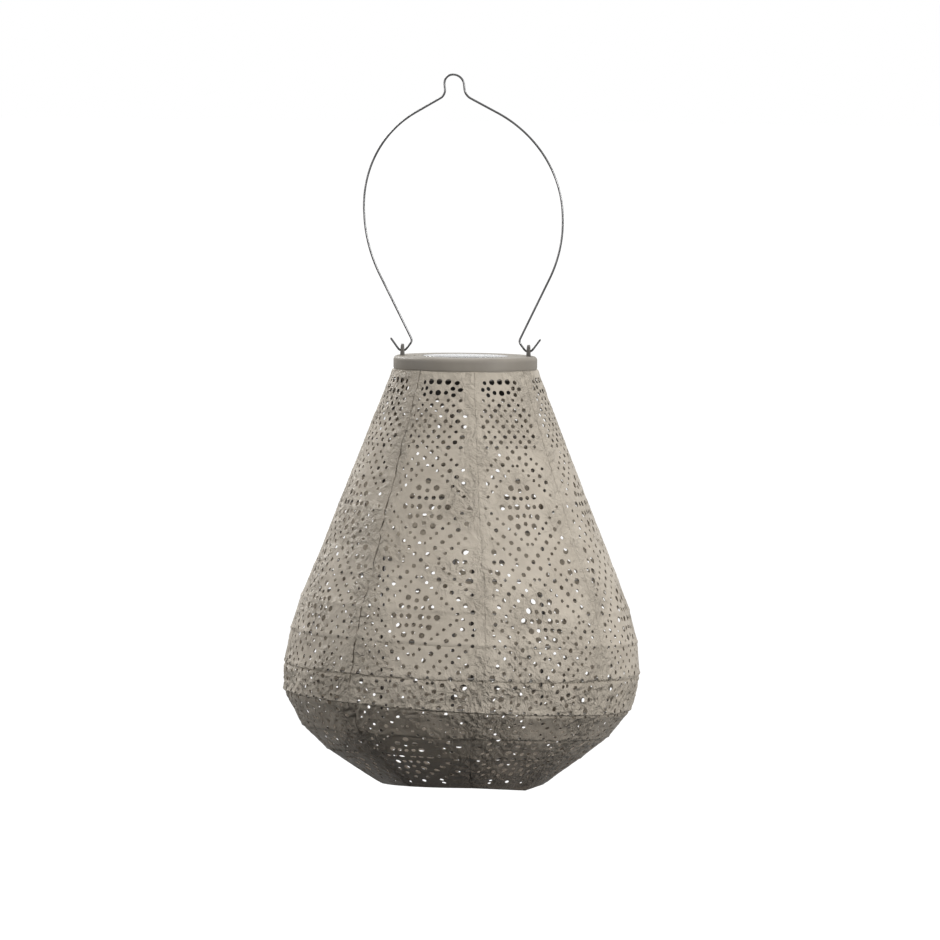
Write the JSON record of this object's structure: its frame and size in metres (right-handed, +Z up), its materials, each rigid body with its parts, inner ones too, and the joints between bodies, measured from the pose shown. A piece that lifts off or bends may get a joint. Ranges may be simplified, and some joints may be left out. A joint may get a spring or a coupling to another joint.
{
  "type": "solar hanging lantern",
  "caption": "Drop-shaped hanging lantern with a punched fabric shade on wire hoops, a lift-out solar light unit and a wire handle.",
  "frame": {"origin": "middle of the foot hoop, on the surface that the lantern stands on", "axes": "+Z up along the lantern's axis, +X towards the right-hand lug seen from the front, -Y to the front"},
  "size_m": [0.1992, 0.1992, 0.4011],
  "materials": {
    "shade_fabric": "matt coated non-woven, lightly crumpled, punched with small holes",
    "hoop_wire": "thin satin paint",
    "upright_wire": "dark satin paint",
    "collar_paint": "satin taupe enamel",
    "lug_steel": "dull nickel plate",
    "handle_steel": "bright drawn wire",
    "solar_cell": "dark blue silicon with fine silver lines",
    "window_clear": "clear cast resin",
    "gasket_rubber": "matt black",
    "housing_plastic": "fine moulded texture",
    "battery_sleeve": "shrink sleeve",
    "contact_metal": "nickel plated spring steel",
    "screw_steel": "zinc plated",
    "circuit_board": "green solder mask",
    "led_resin": "warm white resin",
    "reflector_plastic": "bright white",
    "switch_metal": "pressed tinplate",
    "slider_plastic": "black"
  },
  "bodies": {
    "root": {"shade_panel_1": "shade_fabric", "shade_panel_2": "shade_fabric", "shade_panel_3": "shade_fabric", "shade_panel_4": "shade_fabric", "shade_panel_5": "shade_fabric", "shade_panel_6": "shade_fabric", "shade_panel_7": "shade_fabric", "shade_panel_8": "shade_fabric", "hoop_01": "hoop_wire", "hoop_02": "hoop_wire", "hoop_03": "hoop_wire", "hoop_04": "hoop_wire", "hoop_05": "hoop_wire", "hoop_06": "hoop_wire", "hoop_07": "hoop_wire", "hoop_08": "hoop_wire", "hoop_09": "hoop_wire", "hoop_10": "hoop_wire", "hoop_11": "hoop_wire", "hoop_12": "hoop_wire", "hoop_13": "hoop_wire", "hoop_14": "hoop_wire", "upright_1": "upright_wire", "upright_2": "upright_wire", "upright_3": "upright_wire", "upright_4": "upright_wire", "collar": "collar_paint", "lug_left": "lug_steel", "lug_right": "lug_steel"},
    "handle": {"handle": "handle_steel"},
    "light_unit": {"solar_lid": "collar_paint", "solar_cell": "solar_cell", "solar_window": "window_clear", "lid_gasket": "gasket_rubber", "light_housing": "housing_plastic", "lid_screw_1": "screw_steel", "lid_screw_2": "screw_steel", "lid_screw_3": "screw_steel", "battery_cell": "battery_sleeve", "contact_positive": "contact_metal", "contact_negative": "contact_metal", "battery_door": "housing_plastic", "door_screw": "screw_steel", "circuit_board": "circuit_board", "board_screw_left": "screw_steel", "board_screw_right": "screw_steel", "led": "led_resin", "led_reflector": "reflector_plastic", "switch_body": "switch_metal"},
    "switch": {"switch_slider": "slider_plastic"}
  },
  "joints": [
    {"name": "handle_swing", "type": "hinge", "parent": "root", "child": "handle", "pos_m": [0, 0, 0.2446], "axis": [1, 0, 0], "range_deg": [-94, 94]},
    {"name": "light_unit_lift", "type": "slide", "parent": "root", "child": "light_unit", "axis": [0, 0, 1], "range_m": [0, 0.05]},
    {"name": "switch_slide", "type": "slide", "parent": "light_unit", "child": "switch", "axis": [1, 0, 0], "range_m": [0, 0.0026]}
  ]
}
